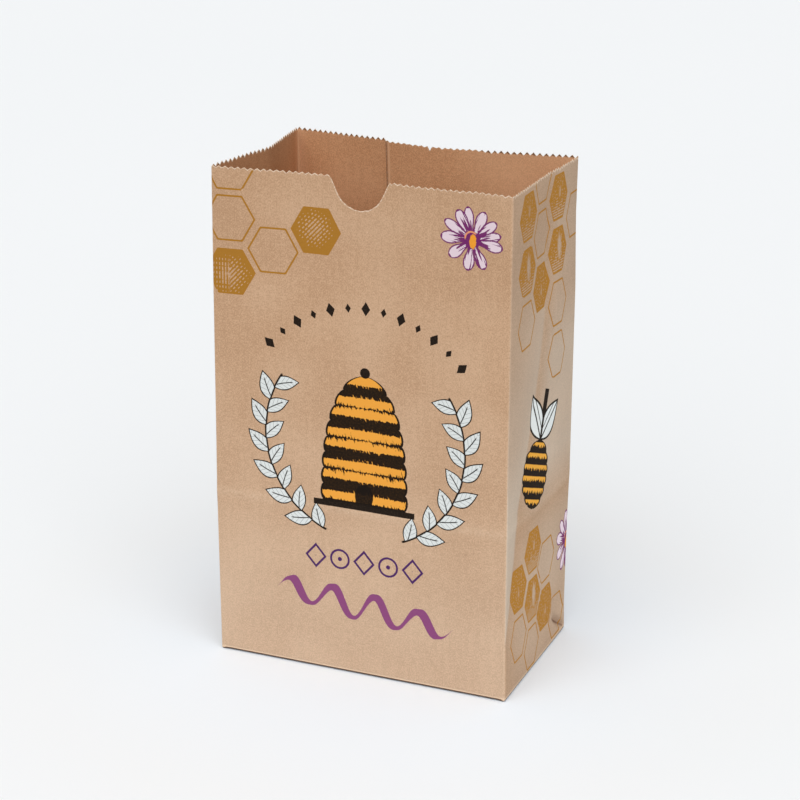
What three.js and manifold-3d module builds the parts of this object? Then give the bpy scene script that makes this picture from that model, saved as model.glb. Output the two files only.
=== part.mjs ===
// An open kraft paper bag of the self-opening kind, standing on its folded base: four creased
// panels of one glued tube, a pinked rim and a thumb notch in the front panel.
// Millimetres, +Z up. The front faces -Y, and the origin is at the middle of the base.

import * as THREE from "three";
import { mergeVertices } from "three/addons/utils/BufferGeometryUtils.js";
import Module from "manifold-3d";

// Driving dimensions
const WIDTH = 152.4; // front and back panels, fold to fold
const DEPTH = 93; // side gussets, fold to fold
const HEIGHT = 251; // table to the tips of the teeth
const PAPER = 0.25; // one ply, a little over real paper so that the wall is sound
const FOLD_RADIUS = 0.9; // upright folds, at the middle of the paper
const BASE_RADIUS = 0.6; // fold where a wall turns into the base
const FLOOR_HEIGHT = 2 * PAPER; // underside of the floor ply, which lies on the two flaps

// Pinked rim
const TOOTH_PITCH = 3.175;
const TOOTH_DEPTH = 1.35;
const COLLAR_HEIGHT = 228; // below this the wall is a plain grid, above it the rim is cut

// Thumb notch in the front panel: a round bottom with straight lips that lean out
const NOTCH_CENTRE = -1.2; // along X
const NOTCH_BOTTOM = 235.5;
const NOTCH_RADIUS = 12.9;
const LIP_LEAN = THREE.MathUtils.degToRad(26); // lips from the vertical
const NOTCH_ARC_STEPS = 14;

// How far the open mouth has pulled in from the flat panels
const FRONT_BOW = 5.6;
const FRONT_BOW_LEAN = 0.72; // under 1 puts the deepest point left of the middle
const FRONT_BOW_EASE = 2.2; // over 1 keeps the panel straight next to its folds
const BACK_BOW = 9.6;
const BACK_BOW_EASE = 1.3;
const LEFT_CREASE = 8.3;
const RIGHT_SWELL = 1.9;
const RIGHT_CREASE = 0.9;
const BOW_FADE = 1.6; // power of the height by which a bow grows from the base to the rim

// The fold that runs all round, left from when the bag lay flat
const CROSS_FOLD_HEIGHT = 86.6;
const CROSS_FOLD_BULGE = 1.2;
const CROSS_FOLD_REACH = 70; // above and below, where the bulge has faded
const CROSS_FOLD_EASE = 1.5;

// Glued lap up the back panel: the ply that comes from the left lies inside
const LAP_INNER_EDGE = -26;
const LAP_WIDTH = 14;
const LAP_SETTLE = 8; // run in which the inner ply comes back into line
const LAP_STEP = 0.15; // run of the cut edge itself

// Flaps folded under the base
const FLAP_OVERLAP = 12; // of the front flap over the back one, past the middle
const FLAP_SINK = 0.1; // each flap is sunk this far into the ply it is glued to

// Fineness of the plain grid
const ROW_HEIGHTS = [14, 34, 60, CROSS_FOLD_HEIGHT, 112, 142, 172, 202, COLLAR_HEIGHT];
const PANEL_COLUMNS = 18;
const GUSSET_COLUMNS = 12;
const FOLD_COLUMNS = 3;

const PERIMETER = 2 * (WIDTH + DEPTH);
const TANGENT_REACH = 0.2; // either side of a point, to find which way the sheet runs there

// The four panels in order round the bag, seen from above and turning left: where each starts
// along the sheet, its length, its start corner, its run and the way into the bag.
const PANELS = [
  { name: "front", start: 0, length: WIDTH, corner: [-1, -1], run: [1, 0], inward: [0, 1] },
  { name: "right", start: WIDTH, length: DEPTH, corner: [1, -1], run: [0, 1], inward: [-1, 0] },
  { name: "back", start: WIDTH + DEPTH, length: WIDTH, corner: [1, 1], run: [-1, 0], inward: [0, -1] },
  { name: "left", start: 2 * WIDTH + DEPTH, length: DEPTH, corner: [-1, 1], run: [0, -1], inward: [1, 0] },
];

const wrap = (s) => ((s % PERIMETER) + PERIMETER) % PERIMETER;
const panelAt = (s) => PANELS.findLast((panel) => wrap(s) >= panel.start);
const ramp = (x, from, to) => THREE.MathUtils.clamp((x - from) / (to - from), 0, 1);

// Inward bow of each panel at the rim, for u from 0 to 1 along its run
const BOWS = {
  front: (u) => FRONT_BOW * Math.sin(Math.PI * u ** FRONT_BOW_LEAN) ** FRONT_BOW_EASE,
  back: (u) => BACK_BOW * Math.sin(Math.PI * u) ** BACK_BOW_EASE,
  left: (u) => LEFT_CREASE * (1 - Math.abs(2 * u - 1)),
  right: (u) =>
    RIGHT_CREASE * (1 - Math.abs(2 * u - 1)) ** 2 -
    (u < 0.5 ? RIGHT_SWELL * Math.sin(2 * Math.PI * u) ** 2 : 0),
};

// Outward bulge of the side panels round the cross fold
function crossFoldBulge(z) {
  const distance = Math.abs(z - CROSS_FOLD_HEIGHT) / CROSS_FOLD_REACH;
  return CROSS_FOLD_BULGE * Math.max(0, 1 - distance) ** CROSS_FOLD_EASE;
}

// Middle of the paper at s along the sheet and z up it, as [x, y]
function sheetPoint(s, z) {
  const panel = panelAt(s);
  const along = wrap(s) - panel.start;
  const [runX, runY] = panel.run;
  const [inX, inY] = panel.inward;
  const cornerX = (panel.corner[0] * WIDTH) / 2;
  const cornerY = (panel.corner[1] * DEPTH) / 2;
  const straight = panel.length - 2 * FOLD_RADIUS;
  const u = THREE.MathUtils.clamp((along - FOLD_RADIUS) / straight, 0, 1);
  // Half of each fold belongs to each of its two panels
  const intoFold = Math.max(FOLD_RADIUS - along, along - panel.length + FOLD_RADIUS, 0);
  const turn = ((intoFold / FOLD_RADIUS) * Math.PI) / 4;
  const foldSide = along < panel.length / 2 ? -1 : 1;
  const runAlong = FOLD_RADIUS + u * straight + foldSide * FOLD_RADIUS * Math.sin(turn);
  const into = FOLD_RADIUS * (1 - Math.cos(turn)) + BOWS[panel.name](u) * (z / HEIGHT) ** BOW_FADE;
  const x = cornerX + runX * runAlong + inX * into;
  const y = cornerY + runY * runAlong + inY * into;
  return [x + Math.sign(x) * crossFoldBulge(z) * ramp(Math.abs(x), 0, WIDTH / 2), y];
}

// How far the inner and outer faces stand from the middle of one ply, where the back is lapped
function plyOffsets(s) {
  if (panelAt(s).name !== "back") return { inner: PAPER / 2, outer: PAPER / 2 };
  const x = WIDTH / 2 - (wrap(s) - PANELS[2].start);
  const outerEdge = LAP_INNER_EDGE - LAP_WIDTH;
  const innerPly = 1 - ramp(x, LAP_INNER_EDGE, LAP_INNER_EDGE + LAP_STEP);
  const settled = ramp(x, outerEdge - LAP_SETTLE, outerEdge);
  const outerPly = ramp(x, outerEdge, outerEdge + LAP_STEP);
  return {
    inner: PAPER / 2 + PAPER * innerPly * settled,
    outer: PAPER / 2 - PAPER * settled * (1 - outerPly),
  };
}

// A point on the inner or outer face of the wall, as [x, y, z]
function wallPoint(s, z, face) {
  const [x, y] = sheetPoint(s, z);
  const [beforeX, beforeY] = sheetPoint(s - TANGENT_REACH, z);
  const [afterX, afterY] = sheetPoint(s + TANGENT_REACH, z);
  const tangent = new THREE.Vector2(afterX - beforeX, afterY - beforeY).normalize();
  const offsets = plyOffsets(s);
  const inward = face === "inner" ? offsets.inner : -offsets.outer;
  return [x - tangent.y * inward, y + tangent.x * inward, z];
}

// Columns of the plain grid: folds, panel columns and the edges of the lap
function wallColumns() {
  const columns = [];
  for (const panel of PANELS) {
    const count = panel.length === WIDTH ? PANEL_COLUMNS : GUSSET_COLUMNS;
    for (let i = 0; i <= FOLD_COLUMNS; i++) {
      columns.push(panel.start - FOLD_RADIUS + (2 * FOLD_RADIUS * i) / FOLD_COLUMNS);
    }
    for (let i = 1; i < count; i++) {
      columns.push(panel.start + FOLD_RADIUS + ((panel.length - 2 * FOLD_RADIUS) * i) / count);
    }
  }
  const outerEdge = LAP_INNER_EDGE - LAP_WIDTH;
  const lapEdges = [LAP_INNER_EDGE, LAP_INNER_EDGE + LAP_STEP, outerEdge, outerEdge + LAP_STEP];
  for (const x of [...lapEdges, outerEdge - LAP_SETTLE]) {
    columns.push(PANELS[2].start + WIDTH / 2 - x);
  }
  return columns.sort((a, b) => a - b);
}

// Outline of the notch from its left lip to its right one, as [x, z]
function notchOutline() {
  const points = [];
  const centreZ = NOTCH_BOTTOM + NOTCH_RADIUS;
  for (let i = 0; i <= NOTCH_ARC_STEPS; i++) {
    const angle = LIP_LEAN + ((Math.PI - 2 * LIP_LEAN) * i) / NOTCH_ARC_STEPS;
    const x = NOTCH_CENTRE - NOTCH_RADIUS * Math.cos(angle);
    points.push([x, centreZ - NOTCH_RADIUS * Math.sin(angle)]);
  }
  const [lipX, lipZ] = points[0];
  const lipRun = (HEIGHT - lipZ) * Math.tan(LIP_LEAN);
  points.unshift([lipX - lipRun, HEIGHT]);
  points.push([2 * NOTCH_CENTRE - lipX + lipRun, HEIGHT]);
  return points;
}

// Points of the cut rim all round, as {s, z}: teeth, broken by the notch
function rimLine() {
  const notch = notchOutline().map(([x, z]) => ({ s: x + WIDTH / 2, z }));
  const first = notch[0].s;
  const last = notch.at(-1).s;
  const teeth = Math.round(PERIMETER / TOOTH_PITCH);
  const halfPitch = PERIMETER / teeth / 2;
  const line = [];
  for (let i = 0; i < 2 * teeth; i++) {
    const s = (i + 0.5) * halfPitch;
    const clear = s < first - halfPitch / 2 || s > last + halfPitch / 2;
    if (clear) line.push({ s, z: i % 2 ? HEIGHT : HEIGHT - TOOTH_DEPTH });
  }
  return [...line, ...notch].sort((a, b) => a.s - b.s);
}

// Vertices and triangles of one growing mesh
const positions = [];
const triangles = [];

function addRing(points) {
  const base = positions.length / 3;
  for (const point of points) positions.push(...point);
  return points.map((_, i) => base + i);
}

// Joins two closed rings, always taking the step that falls behind along the sheet.
// The faces point out of the bag if lower is below upper on the outer side.
function stitch(lower, lowerS, upper, upperS, flip) {
  let i = 0;
  let j = 0;
  const at = (list, k) => list[k % list.length];
  const along = (list, k) => at(list, k) + (k >= list.length ? PERIMETER : 0);
  while (i < lower.length || j < upper.length) {
    const stepLower =
      j >= upper.length || (i < lower.length && along(lowerS, i + 1) <= along(upperS, j + 1));
    const third = stepLower ? at(lower, i + 1) : at(upper, j + 1);
    const face = [at(lower, i), third, at(upper, j)];
    triangles.push(...(flip ? face.reverse() : face));
    if (stepLower) i++;
    else j++;
  }
}

// Closes a ring with a fan from its middle
function cap(ring, z, up) {
  const [middle] = addRing([[0, 0, z]]);
  ring.forEach((corner, i) => {
    const next = ring[(i + 1) % ring.length];
    triangles.push(middle, ...(up ? [corner, next] : [next, corner]));
  });
}

// One face of the paper from the base to the rim; returns the ring of the rim
function addWallFace(face, columns, rim) {
  const flip = face === "inner";
  const floor = FLOOR_HEIGHT + (flip ? PAPER : 0);
  const foot = columns.map((s) => {
    const [x, y] = wallPoint(s, 0, face);
    return [x - Math.sign(x) * BASE_RADIUS, y - Math.sign(y) * BASE_RADIUS, floor];
  });
  let below = addRing(foot);
  cap(below, floor, flip);
  for (const z of [floor + BASE_RADIUS, ...ROW_HEIGHTS]) {
    const ring = addRing(columns.map((s) => wallPoint(s, z, face)));
    stitch(below, columns, ring, columns, flip);
    below = ring;
  }
  const edge = addRing(rim.map(({ s, z }) => wallPoint(s, z, face)));
  stitch(below, columns, edge, rim.map(({ s }) => s), flip);
  return edge;
}

// Geometry that shares its vertices, for the solid modeller
function toManifold(wasm, geometry) {
  geometry.deleteAttribute("normal");
  geometry.deleteAttribute("uv");
  const merged = mergeVertices(geometry, 1e-5);
  return new wasm.Manifold(
    new wasm.Mesh({
      numProp: 3,
      vertProperties: new Float32Array(merged.attributes.position.array),
      triVerts: new Uint32Array(merged.index.array),
    }),
  );
}

// A flap with corners cut at 45 degrees, folded under from the front or the back edge
function flap(side, bottom, top) {
  const edge = WIDTH / 2 - 2 * BASE_RADIUS;
  const hinge = DEPTH / 2 - 2 * BASE_RADIUS;
  const reach = FLAP_OVERLAP;
  const cut = DEPTH / 2 - FLAP_OVERLAP;
  const outline = [
    [-edge, -hinge],
    [edge, -hinge],
    [edge - cut, reach],
    [cut - edge, reach],
  ];
  const shape = new THREE.Shape(outline.map(([x, y]) => new THREE.Vector2(x, y)));
  const slab = new THREE.ExtrudeGeometry(shape, { depth: top - bottom, bevelEnabled: false });
  slab.translate(0, 0, bottom);
  if (side === "back") slab.rotateZ(Math.PI);
  return slab;
}

function bagGeometry(wasm) {
  const columns = wallColumns();
  const rim = rimLine();
  const outerEdge = addWallFace("outer", columns, rim);
  const innerEdge = addWallFace("inner", columns, rim);
  const rimS = rim.map(({ s }) => s);
  stitch(outerEdge, rimS, innerEdge, rimS, false);
  const shell = new THREE.BufferGeometry();
  shell.setAttribute("position", new THREE.Float32BufferAttribute(positions, 3));
  shell.setIndex(triangles);
  const underBack = flap("back", PAPER, FLOOR_HEIGHT + FLAP_SINK);
  const underFront = flap("front", 0, PAPER + FLAP_SINK);
  const solid = [shell, underBack, underFront]
    .map((piece) => toManifold(wasm, piece))
    .reduce((whole, piece) => whole.add(piece));
  const mesh = solid.getMesh();
  const geometry = new THREE.BufferGeometry();
  geometry.setAttribute("position", new THREE.BufferAttribute(mesh.vertProperties, 3));
  geometry.setIndex(new THREE.BufferAttribute(mesh.triVerts, 1));
  return geometry;
}

// Moves a geometry sideways so that the Z axis runs through the middle of its box
function centreOnAxis(geometry) {
  geometry.computeBoundingBox();
  const middle = geometry.boundingBox.getCenter(new THREE.Vector3());
  geometry.translate(-middle.x, -middle.y, 0);
  return geometry;
}

const wasm = await Module();
wasm.setup();

const kraft = new THREE.MeshStandardMaterial({ color: 0xc39f80, roughness: 0.85, metalness: 0 });
const bag = new THREE.Mesh(centreOnAxis(bagGeometry(wasm)), kraft);
bag.name = "bag";

const part = new THREE.Group();
part.add(bag);

export default part;
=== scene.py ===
# %% [markdown]
# # An open kraft paper bag
#
# The real bag is one sheet of brown paper, printed flat, folded and glued. So this lesson starts from a
# flat sheet, puts the print's places on it, folds it up and gives it its thickness last. Lengths are in
# millimetres until a mesh is made, because that is how the bag is made and printed, and one factor turns
# them into Blender's metres.

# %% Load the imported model, the frame that everything fits
import math

import bpy
import numpy as np
from mathutils import Matrix, Vector, noise


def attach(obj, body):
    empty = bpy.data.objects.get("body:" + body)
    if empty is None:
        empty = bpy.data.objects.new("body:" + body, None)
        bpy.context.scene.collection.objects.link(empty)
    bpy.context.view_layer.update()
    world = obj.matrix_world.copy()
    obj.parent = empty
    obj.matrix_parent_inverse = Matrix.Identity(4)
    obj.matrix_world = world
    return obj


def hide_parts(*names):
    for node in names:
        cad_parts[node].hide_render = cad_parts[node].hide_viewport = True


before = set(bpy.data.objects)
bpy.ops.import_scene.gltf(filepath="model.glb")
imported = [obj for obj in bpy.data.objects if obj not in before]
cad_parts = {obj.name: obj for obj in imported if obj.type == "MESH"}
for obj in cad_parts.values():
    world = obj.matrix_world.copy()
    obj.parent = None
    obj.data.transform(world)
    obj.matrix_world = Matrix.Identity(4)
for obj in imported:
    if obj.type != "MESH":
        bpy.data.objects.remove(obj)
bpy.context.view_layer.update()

MM = 0.001

# %% [markdown]
# ## The camera
#
# A long lens a metre away sees the front and a narrow slice of the right side, from a little above.
# Azimuth, elevation and roll give the camera's three axes, and its place is worked out backwards from the
# bag.

# %% Camera
HEIGHT = 251.0
CENTRE_SHIFT = -0.2355  # along X, from the middle of the base to the middle of the whole box
VIEW_AZIMUTH = math.radians(22.76)
VIEW_ELEVATION = math.radians(18.97)
VIEW_ROLL = math.radians(0.273)
VIEW_DISTANCE = 4.2997 * HEIGHT
VIEW_ACROSS = 0.0079 * HEIGHT
VIEW_UP = 0.5162 * HEIGHT
SENSOR = 36.0
LENS = 97.78


def add_camera():
    back = Vector((
        math.sin(VIEW_AZIMUTH) * math.cos(VIEW_ELEVATION),
        -math.cos(VIEW_AZIMUTH) * math.cos(VIEW_ELEVATION),
        math.sin(VIEW_ELEVATION),
    ))
    right = Vector((math.cos(VIEW_AZIMUTH), math.sin(VIEW_AZIMUTH), 0.0))
    up = back.cross(right)
    place = right * VIEW_ACROSS + Vector((CENTRE_SHIFT, 0.0, VIEW_UP)) + back * VIEW_DISTANCE
    turned_right = right * math.cos(VIEW_ROLL) + up * math.sin(VIEW_ROLL)
    turned_up = up * math.cos(VIEW_ROLL) - right * math.sin(VIEW_ROLL)
    axes = Matrix((turned_right, turned_up, back)).transposed().to_4x4()
    data = bpy.data.cameras.new("camera")
    data.sensor_width = SENSOR
    data.lens = LENS
    data.clip_start = 0.05
    camera = bpy.data.objects.new("camera", data)
    bpy.context.scene.collection.objects.link(camera)
    camera.matrix_world = Matrix.Translation(place * MM) @ axes
    bpy.context.scene.camera = camera
    return camera


camera = add_camera()
print("camera at", [round(c, 4) for c in camera.matrix_world.translation])

# %% [markdown]
# ## The sheet and its folds
#
# Two numbers place any point of the flat sheet: s runs round the bag, from the front left fold over the
# front, the right side, the back and the left side, and w runs up from the base. The sheet is longer than
# once round the bag, because its two ends are glued over each other on the back. Below w = 0 hang the
# flaps that fold into the base.

# %% Sizes of the sheet
WIDTH = 152.4  # front and back, fold to fold
DEPTH = 93.0  # sides, fold to fold
PAPER = 0.25
FOLD_RADIUS = 0.9
BASE_RADIUS = 0.6
TOOTH_PITCH = 3.175
TOOTH_DEPTH = 1.6
LAP_INNER_EDGE = -22.5  # X of the cut edge that lies inside, on the back
LAP_WIDTH = 14.0
PERIMETER = 2 * (WIDTH + DEPTH)


def clamp(share):
    return min(max(share, 0.0), 1.0)


# name: start along the sheet, length, start corner, run, way into the bag
PANELS = {
    "front": (0.0, WIDTH, (-1, -1), (1, 0), (0, 1)),
    "right": (WIDTH, DEPTH, (1, -1), (0, 1), (-1, 0)),
    "back": (WIDTH + DEPTH, WIDTH, (1, 1), (-1, 0), (0, -1)),
    "left": (2 * WIDTH + DEPTH, DEPTH, (-1, 1), (0, -1), (1, 0)),
}
SHEET_START = PANELS["back"][0] + WIDTH / 2 - LAP_INNER_EDGE
SHEET_END = SHEET_START + PERIMETER + LAP_WIDTH


def panel_at(s):
    """The panel that a place along the sheet belongs to, and how far along it the place is."""
    s = s % PERIMETER
    for name in reversed(PANELS):
        if s >= PANELS[name][0]:
            return name, s - PANELS[name][0]


print(f"the flat sheet is {SHEET_END - SHEET_START:.1f} mm long")

# %% [markdown]
# ## Where the sheet's grid lines lie
#
# A grid primitive has even squares, but the work needs its lines in particular places: one at every tip
# and root of the teeth, several across each fold, and close ones round the thumb notch. So the lists
# below say where each column and each row goes, and the even grid is moved onto them. The notch's columns
# are spaced evenly along its arc, which keeps the arc smooth although the columns are upright.

# %% Outline of the thumb notch
NOTCH_CENTRE = -1.2
NOTCH_BOTTOM = 235.5
NOTCH_RADIUS = 12.9
NOTCH_LEAN = math.radians(26)  # of the straight lips, from upright
NOTCH_STEPS = 30
LIP_STEPS = 4
LIP_ROUNDING = 0.2  # how far the end of a lip is lowered


def notch_outline():
    """Points of the thumb notch on the front, left lip to right lip, as (x, z)."""
    middle = NOTCH_BOTTOM + NOTCH_RADIUS
    arc = []
    for i in range(NOTCH_STEPS + 1):
        turn = NOTCH_LEAN + (math.pi - 2 * NOTCH_LEAN) * i / NOTCH_STEPS
        arc.append((NOTCH_CENTRE - NOTCH_RADIUS * math.cos(turn), middle - NOTCH_RADIUS * math.sin(turn)))
    lip_x, lip_z = arc[0]
    rise = HEIGHT - lip_z
    left = []
    for i in range(LIP_STEPS):
        part = 1 - i / LIP_STEPS
        round_off = LIP_ROUNDING * (i == 0)
        left.append((lip_x - rise * part * math.tan(NOTCH_LEAN), lip_z + rise * part - round_off))
    right = [(2 * NOTCH_CENTRE - x, z) for x, z in reversed(left)]
    return left + arc + right


NOTCH = [(x + WIDTH / 2, z) for x, z in notch_outline()]
print("thumb notch:", len(NOTCH), "points,", round(NOTCH[-1][0] - NOTCH[0][0], 1), "mm wide")

# %% Columns
HALF_PITCH = TOOTH_PITCH / 2
FOLD_MARGIN, NOTCH_MARGIN = 0.3, 0.8  # kept free of the even columns beside a fold and the notch
FOLD_PARTS = (-1, -0.6, -0.2, 0.2, 0.6, 1)  # columns across a fold, as shares of its radius
NICK_PLACE, NICK_HALF = PERIMETER + 320.3, 1.05  # a small nick in the back's rim


def sheet_columns():
    fold_lines = [PANELS[name][0] + turn * PERIMETER for name in PANELS for turn in (0, 1, 2)]
    notch_from, notch_to = PERIMETER + NOTCH[0][0], PERIMETER + NOTCH[-1][0]
    columns = {SHEET_START, SHEET_END}
    count = int((SHEET_END - SHEET_START) / HALF_PITCH)
    for i in range(1, count):
        s = SHEET_START + i * HALF_PITCH
        near_fold = any(abs(s - line) < FOLD_RADIUS + FOLD_MARGIN for line in fold_lines)
        in_notch = notch_from - NOTCH_MARGIN < s < notch_to + NOTCH_MARGIN
        if not near_fold and not in_notch:
            columns.add(s)
    for line in fold_lines:
        for part in FOLD_PARTS:
            if SHEET_START < line + part * FOLD_RADIUS < SHEET_END:
                columns.add(line + part * FOLD_RADIUS)
    columns.update(PERIMETER + s for s, z in NOTCH)
    columns.update(NICK_PLACE + part * NICK_HALF for part in (-1.0, -0.4, 0.0, 0.4, 1.0))
    return sorted(columns)


COLUMNS = sheet_columns()
print(len(COLUMNS), "columns")

# %% Rows
CROSS_FOLD = 86.6  # height of the fold left from when the bag lay flat
COLLAR = 215.0  # above this the rows spread up to the cut rim
FLAP_REACH = DEPTH / 2 + 12.0
FLAP_LEVEL = PAPER / 2  # middle of the paper of the lowest flap
PLY_STEP = 0.3  # from one ply of the base to the next
FLAP_STEP, FOOT_STEP, WALL_STEP = 4.0, 1.55, 3.1  # from row to row
WALL_FROM = 20.5
ROWS_OVER_FOLD, ROWS_IN_COLLAR = 41, 13


def sheet_rows():
    bend_top = FLAP_LEVEL + BASE_RADIUS
    rows = [-FLAP_REACH + FLAP_STEP * i for i in range(14)]
    rows += [bend_top - BASE_RADIUS * math.pi / 2 * part for part in (1.0, 0.75, 0.5, 0.25, 0.0)]
    rows += [bend_top + 0.9 + FOOT_STEP * i for i in range(12)]
    rows += list(np.arange(WALL_FROM, CROSS_FOLD - 3.5, WALL_STEP))
    rows += [CROSS_FOLD + away for away in (-2.4, -1.2, -0.4, 0.4, 1.2, 2.4)]
    rows += list(np.linspace(CROSS_FOLD + 5.3, COLLAR, ROWS_OVER_FOLD))
    rows += list(np.linspace(COLLAR, HEIGHT - 1.2, ROWS_IN_COLLAR))[1:]
    rows += [HEIGHT - 0.45, HEIGHT]
    return sorted(rows)


ROWS = sheet_rows()
print(len(ROWS), "rows")

# %% [markdown]
# ## The cut rim
#
# The top edge is pinked, cut in small teeth so that it doesn't tear, and the front has a notch for the
# thumb. Both are one outline over the sheet: the height of the edge at each place along it. Nothing is
# cut out of the grid: the rows between the collar and the edge close up under the outline, which keeps
# every face four-sided. Real teeth wear down where the bag is opened, and a bag never stands quite
# square, so short tables along the sheet change the depth of the teeth and the height of the rim.

# %% Wear and rise of the rim, as (place along the sheet, value)
TOOTH_WEAR = (
    (SHEET_START, 0.95), (PERIMETER - 3, 0.95), (PERIMETER + 3, 0.62), (PERIMETER + WIDTH, 0.62),
    (PERIMETER + WIDTH + DEPTH - 4, 0.7), (PERIMETER + WIDTH + DEPTH, 1.0), (PERIMETER + 290, 1.0),
    (PERIMETER + 296, 0.5), (PERIMETER + 338, 0.45), (PERIMETER + 346, 0.7), (SHEET_END, 0.9),
)
RIM_RISE = (
    (SHEET_START, 1.2), (372, 0.9), (398, 0.6), (420, 0.8), (470, 0.8), (PERIMETER, 0.4), (525, 0.3),
    (567, 0.0), (592, -0.4), (615, 0.0), (628, 0.45), (643, 0.1), (690, -0.2),
    (PERIMETER + WIDTH + DEPTH, -0.3), (780, -0.3), (800, -0.7), (822, -0.6), (835, -0.1), (SHEET_END, 0.0),
)
NICK_DEPTH = 1.5


def curve(points, place):
    """Value at a place along a line drawn through points of (place, value)."""
    return float(np.interp(place, *zip(*points)))


print("rim over the right front fold:", curve(RIM_RISE, PERIMETER + WIDTH), "mm up")

# %% Height of the rim along the sheet
def rim_height(s):
    """Height of the cut edge, and of the line through the roots of the teeth, along the sheet."""
    rise = curve(RIM_RISE, s)
    round_bag = s % PERIMETER
    if NOTCH[0][0] <= round_bag <= NOTCH[-1][0]:
        ragged = 0.3 * noise.noise(Vector((round_bag * 1.7, 3.0, 0.0)))
        edge = curve(NOTCH, round_bag) + ragged + rise
        return edge, edge
    half_teeth = (s - SHEET_START) / HALF_PITCH
    to_root = abs((half_teeth % 2) - 1)
    # Worn teeth are short, and the most uneven
    wear = curve(TOOTH_WEAR, s)
    uneven = 1 + (0.25 + 0.9 * (1 - wear)) * noise.noise(Vector((s * 0.37, 7.0, 0.0)))
    sag = 0.3 * (1.6 - wear) * noise.noise(Vector((s * 0.14, 11.0, 0.0)))
    nick = NICK_DEPTH * max(0.0, 1 - abs(s - NICK_PLACE) / NICK_HALF)
    tips = HEIGHT + sag + rise - nick
    return tips - TOOTH_DEPTH * wear * to_root * uneven, tips - TOOTH_DEPTH * wear * uneven


RIM, ROOTS = np.array([rim_height(s) for s in COLUMNS]).T
print(f"the rim lies between {RIM.min():.1f} and {RIM.max():.1f} mm")

# %% Sheet coordinates of every grid point
def spread_rows(w, rim):
    """Moves a row above the collar so that the last one lies on the rim."""
    share = max(0.0, (w - COLLAR) / (HEIGHT - COLLAR))
    return w + share * (rim - HEIGHT)


sheet_s = np.array([COLUMNS for w in ROWS])
sheet_w = np.array([[spread_rows(w, rim) for rim in RIM] for w in ROWS])
print("grid points:", sheet_s.size)

# %% [markdown]
# ## Folding by formula
#
# By hand, the sheet would be turned about each crease in turn, but then every soft bow of the open mouth
# would have to be pushed in afterwards. One function does both: it says where a point of the flat sheet
# lies on the standing bag. A panel runs straight between its two folds, and its bow pushes it into the
# bag, most at the rim and not at all at the base. The folds themselves wander a little, and the fold that
# went round the flat bag stands proud.

# %% Bows of the open mouth
FRONT_BOW, FRONT_LEAN, FRONT_EASE = 5.6, 0.72, 2.2  # depth, shift of the deepest place, ease at the ends
BACK_BOW, BACK_EASE = 9.6, 1.3
LEFT_CREASE = 8.3  # depth of the left side's crease at the rim
BOW_FADE = 1.6  # how suddenly the bows set in towards the rim

# Right side, by height: Y of the crease that runs down it, its depth, and the swell of the part behind it
RIGHT_CREASE = (
    (30, -46.5), (50, -38), (71, -31.5), (92, -28), (112, -18), (146, -3.9), (158, 0), (182, 5), (251, 7),
)
RIGHT_DIP = ((0, 0.0), (32, 0.5), (60, 1.6), (100, 2.0), (150, 2.0), (200, 1.6), (251, 1.2))
RIGHT_SWELL = ((0, 0.0), (40, 0.5), (90, 1.0), (150, 1.0), (200, 0.6), (251, 0.1))


def soft_min(a, b, reach):
    """The lower of two values, rounded off where they cross."""
    blend = max(0.0, reach - abs(a - b)) / reach
    return min(a, b) - blend * blend * reach / 4


def right_inward(y, z):
    """How far into the bag the right side lies: it curves in to the crease, and out again behind it."""
    crease = curve(RIGHT_CREASE, z)
    in_front = (y + DEPTH / 2) / max(crease + DEPTH / 2, 0.5)
    behind = clamp((y - crease) / (DEPTH / 2 - crease))
    dip, swell = curve(RIGHT_DIP, z), curve(RIGHT_SWELL, z)
    # The powers say how suddenly each curve sets in
    curving = dip * max(in_front, 0.0) ** 1.8
    leaving = dip * (1 - behind) ** 2.4 - swell * math.sin(math.pi * behind**0.8)
    return soft_min(curving, leaving, 0.12) if in_front < 1.3 else leaving


def panel_inward(name, u, z):
    """How far into the bag a panel lies, for u from 0 to 1 along it."""
    grown = (max(z, 0.0) / HEIGHT) ** BOW_FADE
    if name == "front":
        return FRONT_BOW * math.sin(math.pi * u**FRONT_LEAN) ** FRONT_EASE * grown
    if name == "back":
        return BACK_BOW * math.sin(math.pi * u) ** BACK_EASE * grown
    if name == "left":
        middle = soft_min(u, 1 - u, 0.06)
        return LEFT_CREASE * 2 * middle * grown
    return right_inward((u - 0.5) * DEPTH, z)


print("crease of the right side at the rim:", round(right_inward(7, 251), 2), "mm in")

# %% Wandering folds, the fold round the flat bag, and the paper's own unevenness
# For each upright fold, how far it stands to the right and to the back of its place, by height
FOLD_DRIFT = {
    "front left": (
        ((0, 0.0), (40, -0.35), (86, -0.75), (125, -0.45), (160, -0.25), (200, 0.0), (251, 0.4)),
        ((0, 0.0), (251, 0.0)),
    ),
    "front right": (
        ((0, 1.2), (16, 1.0), (31, 0.5), (50, 0.5), (86, 0.4), (120, 0.1), (150, 0.1), (251, 0.0)),
        ((0, 0.0), (16, 0.1), (31, 0.5), (50, 0.1), (251, 0.0)),
    ),
    "back right": (
        ((0, -0.1), (16, -0.5), (60, -0.3), (91, 0.3), (185, 0.3), (204, -0.2), (223, -0.6), (251, -0.3)),
        ((0, 0.0), (251, 0.0)),
    ),
    "back left": (
        ((0, 0.0), (86, -0.5), (140, 0.4), (200, 1.9), (251, 0.7)),
        ((0, 0.0), (86, 0.3), (251, 1.3)),
    ),
}
FOLDS_OF = {
    "front": ("front left", "front right"), "right": ("front right", "back right"),
    "back": ("back right", "back left"), "left": ("back left", "front left"),
}
RIDGE, RIDGE_REACH = 0.42, 8.0


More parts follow.
